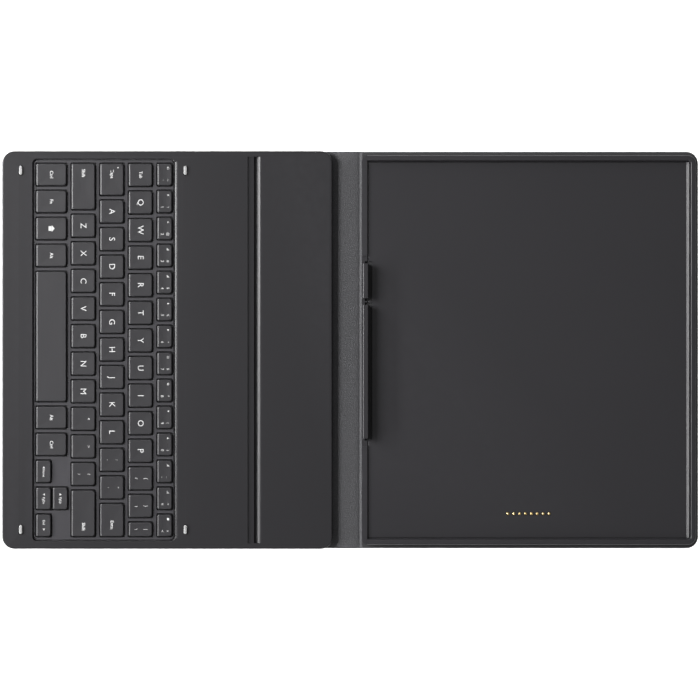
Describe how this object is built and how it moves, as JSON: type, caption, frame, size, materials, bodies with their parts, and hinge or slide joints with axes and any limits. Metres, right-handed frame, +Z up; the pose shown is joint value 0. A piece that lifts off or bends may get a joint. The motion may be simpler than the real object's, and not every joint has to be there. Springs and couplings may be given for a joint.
{
  "type": "tablet keyboard case",
  "caption": "Folding case with a thin keyboard deck, a soft spine, and a back panel carrying a rimmed tablet tray with contact pins; it folds shut, folds back and props the tablet up.",
  "frame": {"origin": "centre of the open, flat case at its underside", "axes": "+X to the typist's right, +Y away from the typist towards the tray, +Z up"},
  "size_m": [0.238, 0.417, 0.0089],
  "materials": {
    "deck_plastic": "fine matte texture",
    "frame_plastic": "satin, lighter than the keys",
    "key_plastic": "fine matte with printed legends",
    "tray_plastic": "matte floor with a satin rim",
    "cover_leather": "grained coated fabric",
    "spine_leather": "soft grained coated fabric",
    "lining": "fine microfibre",
    "silicone": "matte pale grey",
    "gold": "polished plating",
    "steel": "brushed sheet",
    "magnet": "nickel plated",
    "circuit": "solder mask",
    "film": "thin polyimide film",
    "black_plastic": "matte"
  },
  "bodies": {
    "keyboard_deck": {"deck_top_case": "deck_plastic", "deck_base_plate": "steel", "key_frame": "frame_plastic", "switch_membrane": "film", "controller_board": "circuit", "front_cover_skin": "cover_leather", "stand_magnet": "magnet", "closure_magnet": "magnet", "bumper_front_left": "silicone", "bumper_front_right": "silicone", "bumper_rear_left": "silicone", "bumper_rear_right": "silicone"},
    "spine": {"spine_cover": "spine_leather", "ribbon_cable": "film"},
    "lower_back": {"lower_back_skin": "cover_leather", "lower_back_board": "lining"},
    "tray": {"upper_back_skin": "cover_leather", "upper_back_board": "lining", "closure_plate": "steel", "tablet_tray": "tray_plastic", "contact_housing": "black_plastic"},
    "pin_carrier": {"contact_pins": "gold"},
    "arrow_keys_body": {"arrow_keys": "key_plastic"},
    "bracket_keys_body": {"bracket_keys": "key_plastic"},
    "enter_keys_body": {"enter_keys": "key_plastic"},
    "key_a_body": {"key_a": "key_plastic"},
    "key_b_body": {"key_b": "key_plastic"},
    "key_c_body": {"key_c": "key_plastic"},
    "key_caps_lock_body": {"key_caps_lock": "key_plastic"},
    "key_d_body": {"key_d": "key_plastic"},
    "key_e_body": {"key_e": "key_plastic"},
    "key_f_body": {"key_f": "key_plastic"},
    "key_g_body": {"key_g": "key_plastic"},
    "key_h_body": {"key_h": "key_plastic"},
    "key_i_body": {"key_i": "key_plastic"},
    "key_j_body": {"key_j": "key_plastic"},
    "key_k_body": {"key_k": "key_plastic"},
    "key_l_body": {"key_l": "key_plastic"},
    "key_m_body": {"key_m": "key_plastic"},
    "key_n_body": {"key_n": "key_plastic"},
    "key_o_body": {"key_o": "key_plastic"},
    "key_p_body": {"key_p": "key_plastic"},
    "key_q_body": {"key_q": "key_plastic"},
    "key_r_body": {"key_r": "key_plastic"},
    "key_s_body": {"key_s": "key_plastic"},
    "key_shift_left_body": {"key_shift_left": "key_plastic"},
    "key_space_body": {"key_space": "key_plastic"},
    "key_t_body": {"key_t": "key_plastic"},
    "key_tab_body": {"key_tab": "key_plastic"},
    "key_u_body": {"key_u": "key_plastic"},
    "key_v_body": {"key_v": "key_plastic"},
    "key_w_body": {"key_w": "key_plastic"},
    "key_x_body": {"key_x": "key_plastic"},
    "key_y_body": {"key_y": "key_plastic"},
    "key_z_body": {"key_z": "key_plastic"},
    "left_modifier_keys_body": {"left_modifier_keys": "key_plastic"},
    "number_keys_left_body": {"number_keys_left": "key_plastic"},
    "number_keys_right_body": {"number_keys_right": "key_plastic"},
    "right_modifier_keys_body": {"right_modifier_keys": "key_plastic"},
    "right_shift_keys_body": {"right_shift_keys": "key_plastic"}
  },
  "joints": [
    {"name": "spine_front_fold", "type": "hinge", "parent": "keyboard_deck", "child": "spine", "pos_m": [0, -0.0087, 0.0006], "axis": [-1, 0, 0], "range_deg": [-90, 90]},
    {"name": "spine_rear_fold", "type": "hinge", "parent": "spine", "child": "lower_back", "pos_m": [0, 0.0053, 0.0006], "axis": [1, 0, 0], "range_deg": [-90, 90]},
    {"name": "stand_fold", "type": "hinge", "parent": "lower_back", "child": "tray", "pos_m": [0, 0.09, 0.00075], "axis": [-1, 0, 0], "range_deg": [0, 60]},
    {"name": "contact_pin_press", "type": "slide", "parent": "tray", "child": "pin_carrier", "axis": [0, 0, 1], "range_m": [-0.0004, 0], "stiffness_N_per_m": 6000, "springref_m": 0.0003},
    {"name": "press_arrow_keys", "type": "slide", "parent": "keyboard_deck", "child": "arrow_keys_body", "axis": [0, 0, 1], "range_m": [-0.001, 0], "stiffness_N_per_m": 1600, "springref_m": 0.0004},
    {"name": "press_bracket_keys", "type": "slide", "parent": "keyboard_deck", "child": "bracket_keys_body", "axis": [0, 0, 1], "range_m": [-0.001, 0], "stiffness_N_per_m": 1200, "springref_m": 0.0004},
    {"name": "press_enter_keys", "type": "slide", "parent": "keyboard_deck", "child": "enter_keys_body", "axis": [0, 0, 1], "range_m": [-0.001, 0], "stiffness_N_per_m": 1200, "springref_m": 0.0004},
    {"name": "press_key_a", "type": "slide", "parent": "keyboard_deck", "child": "key_a_body", "axis": [0, 0, 1], "range_m": [-0.001, 0], "stiffness_N_per_m": 400, "springref_m": 0.0004},
    {"name": "press_key_b", "type": "slide", "parent": "keyboard_deck", "child": "key_b_body", "axis": [0, 0, 1], "range_m": [-0.001, 0], "stiffness_N_per_m": 400, "springref_m": 0.0004},
    {"name": "press_key_c", "type": "slide", "parent": "keyboard_deck", "child": "key_c_body", "axis": [0, 0, 1], "range_m": [-0.001, 0], "stiffness_N_per_m": 400, "springref_m": 0.0004},
    {"name": "press_key_caps_lock", "type": "slide", "parent": "keyboard_deck", "child": "key_caps_lock_body", "axis": [0, 0, 1], "range_m": [-0.001, 0], "stiffness_N_per_m": 400, "springref_m": 0.0004},
    {"name": "press_key_d", "type": "slide", "parent": "keyboard_deck", "child": "key_d_body", "axis": [0, 0, 1], "range_m": [-0.001, 0], "stiffness_N_per_m": 400, "springref_m": 0.0004},
    {"name": "press_key_e", "type": "slide", "parent": "keyboard_deck", "child": "key_e_body", "axis": [0, 0, 1], "range_m": [-0.001, 0], "stiffness_N_per_m": 400, "springref_m": 0.0004},
    {"name": "press_key_f", "type": "slide", "parent": "keyboard_deck", "child": "key_f_body", "axis": [0, 0, 1], "range_m": [-0.001, 0], "stiffness_N_per_m": 400, "springref_m": 0.0004},
    {"name": "press_key_g", "type": "slide", "parent": "keyboard_deck", "child": "key_g_body", "axis": [0, 0, 1], "range_m": [-0.001, 0], "stiffness_N_per_m": 400, "springref_m": 0.0004},
    {"name": "press_key_h", "type": "slide", "parent": "keyboard_deck", "child": "key_h_body", "axis": [0, 0, 1], "range_m": [-0.001, 0], "stiffness_N_per_m": 400, "springref_m": 0.0004},
    {"name": "press_key_i", "type": "slide", "parent": "keyboard_deck", "child": "key_i_body", "axis": [0, 0, 1], "range_m": [-0.001, 0], "stiffness_N_per_m": 400, "springref_m": 0.0004},
    {"name": "press_key_j", "type": "slide", "parent": "keyboard_deck", "child": "key_j_body", "axis": [0, 0, 1], "range_m": [-0.001, 0], "stiffness_N_per_m": 400, "springref_m": 0.0004},
    {"name": "press_key_k", "type": "slide", "parent": "keyboard_deck", "child": "key_k_body", "axis": [0, 0, 1], "range_m": [-0.001, 0], "stiffness_N_per_m": 400, "springref_m": 0.0004},
    {"name": "press_key_l", "type": "slide", "parent": "keyboard_deck", "child": "key_l_body", "axis": [0, 0, 1], "range_m": [-0.001, 0], "stiffness_N_per_m": 400, "springref_m": 0.0004},
    {"name": "press_key_m", "type": "slide", "parent": "keyboard_deck", "child": "key_m_body", "axis": [0, 0, 1], "range_m": [-0.001, 0], "stiffness_N_per_m": 400, "springref_m": 0.0004},
    {"name": "press_key_n", "type": "slide", "parent": "keyboard_deck", "child": "key_n_body", "axis": [0, 0, 1], "range_m": [-0.001, 0], "stiffness_N_per_m": 400, "springref_m": 0.0004},
    {"name": "press_key_o", "type": "slide", "parent": "keyboard_deck", "child": "key_o_body", "axis": [0, 0, 1], "range_m": [-0.001, 0], "stiffness_N_per_m": 400, "springref_m": 0.0004},
    {"name": "press_key_p", "type": "slide", "parent": "keyboard_deck", "child": "key_p_body", "axis": [0, 0, 1], "range_m": [-0.001, 0], "stiffness_N_per_m": 400, "springref_m": 0.0004},
    {"name": "press_key_q", "type": "slide", "parent": "keyboard_deck", "child": "key_q_body", "axis": [0, 0, 1], "range_m": [-0.001, 0], "stiffness_N_per_m": 400, "springref_m": 0.0004},
    {"name": "press_key_r", "type": "slide", "parent": "keyboard_deck", "child": "key_r_body", "axis": [0, 0, 1], "range_m": [-0.001, 0], "stiffness_N_per_m": 400, "springref_m": 0.0004},
    {"name": "press_key_s", "type": "slide", "parent": "keyboard_deck", "child": "key_s_body", "axis": [0, 0, 1], "range_m": [-0.001, 0], "stiffness_N_per_m": 400, "springref_m": 0.0004},
    {"name": "press_key_shift_left", "type": "slide", "parent": "keyboard_deck", "child": "key_shift_left_body", "axis": [0, 0, 1], "range_m": [-0.001, 0], "stiffness_N_per_m": 400, "springref_m": 0.0004},
    {"name": "press_key_space", "type": "slide", "parent": "keyboard_deck", "child": "key_space_body", "axis": [0, 0, 1], "range_m": [-0.001, 0], "stiffness_N_per_m": 400, "springref_m": 0.0004},
    {"name": "press_key_t", "type": "slide", "parent": "keyboard_deck", "child": "key_t_body", "axis": [0, 0, 1], "range_m": [-0.001, 0], "stiffness_N_per_m": 400, "springref_m": 0.0004},
    {"name": "press_key_tab", "type": "slide", "parent": "keyboard_deck", "child": "key_tab_body", "axis": [0, 0, 1], "range_m": [-0.001, 0], "stiffness_N_per_m": 400, "springref_m": 0.0004},
    {"name": "press_key_u", "type": "slide", "parent": "keyboard_deck", "child": "key_u_body", "axis": [0, 0, 1], "range_m": [-0.001, 0], "stiffness_N_per_m": 400, "springref_m": 0.0004},
    {"name": "press_key_v", "type": "slide", "parent": "keyboard_deck", "child": "key_v_body", "axis": [0, 0, 1], "range_m": [-0.001, 0], "stiffness_N_per_m": 400, "springref_m": 0.0004},
    {"name": "press_key_w", "type": "slide", "parent": "keyboard_deck", "child": "key_w_body", "axis": [0, 0, 1], "range_m": [-0.001, 0], "stiffness_N_per_m": 400, "springref_m": 0.0004},
    {"name": "press_key_x", "type": "slide", "parent": "keyboard_deck", "child": "key_x_body", "axis": [0, 0, 1], "range_m": [-0.001, 0], "stiffness_N_per_m": 400, "springref_m": 0.0004},
    {"name": "press_key_y", "type": "slide", "parent": "keyboard_deck", "child": "key_y_body", "axis": [0, 0, 1], "range_m": [-0.001, 0], "stiffness_N_per_m": 400, "springref_m": 0.0004},
    {"name": "press_key_z", "type": "slide", "parent": "keyboard_deck", "child": "key_z_body", "axis": [0, 0, 1], "range_m": [-0.001, 0], "stiffness_N_per_m": 400, "springref_m": 0.0004},
    {"name": "press_left_modifier_keys", "type": "slide", "parent": "keyboard_deck", "child": "left_modifier_keys_body", "axis": [0, 0, 1], "range_m": [-0.001, 0], "stiffness_N_per_m": 1600, "springref_m": 0.0004},
    {"name": "press_number_keys_left", "type": "slide", "parent": "keyboard_deck", "child": "number_keys_left_body", "axis": [0, 0, 1], "range_m": [-0.001, 0], "stiffness_N_per_m": 2800, "springref_m": 0.0004},
    {"name": "press_number_keys_right", "type": "slide", "parent": "keyboard_deck", "child": "number_keys_right_body", "axis": [0, 0, 1], "range_m": [-0.001, 0], "stiffness_N_per_m": 2800, "springref_m": 0.0004},
    {"name": "press_right_modifier_keys", "type": "slide", "parent": "keyboard_deck", "child": "right_modifier_keys_body", "axis": [0, 0, 1], "range_m": [-0.001, 0], "stiffness_N_per_m": 800, "springref_m": 0.0004},
    {"name": "press_right_shift_keys", "type": "slide", "parent": "keyboard_deck", "child": "right_shift_keys_body", "axis": [0, 0, 1], "range_m": [-0.001, 0], "stiffness_N_per_m": 1600, "springref_m": 0.0004}
  ]
}
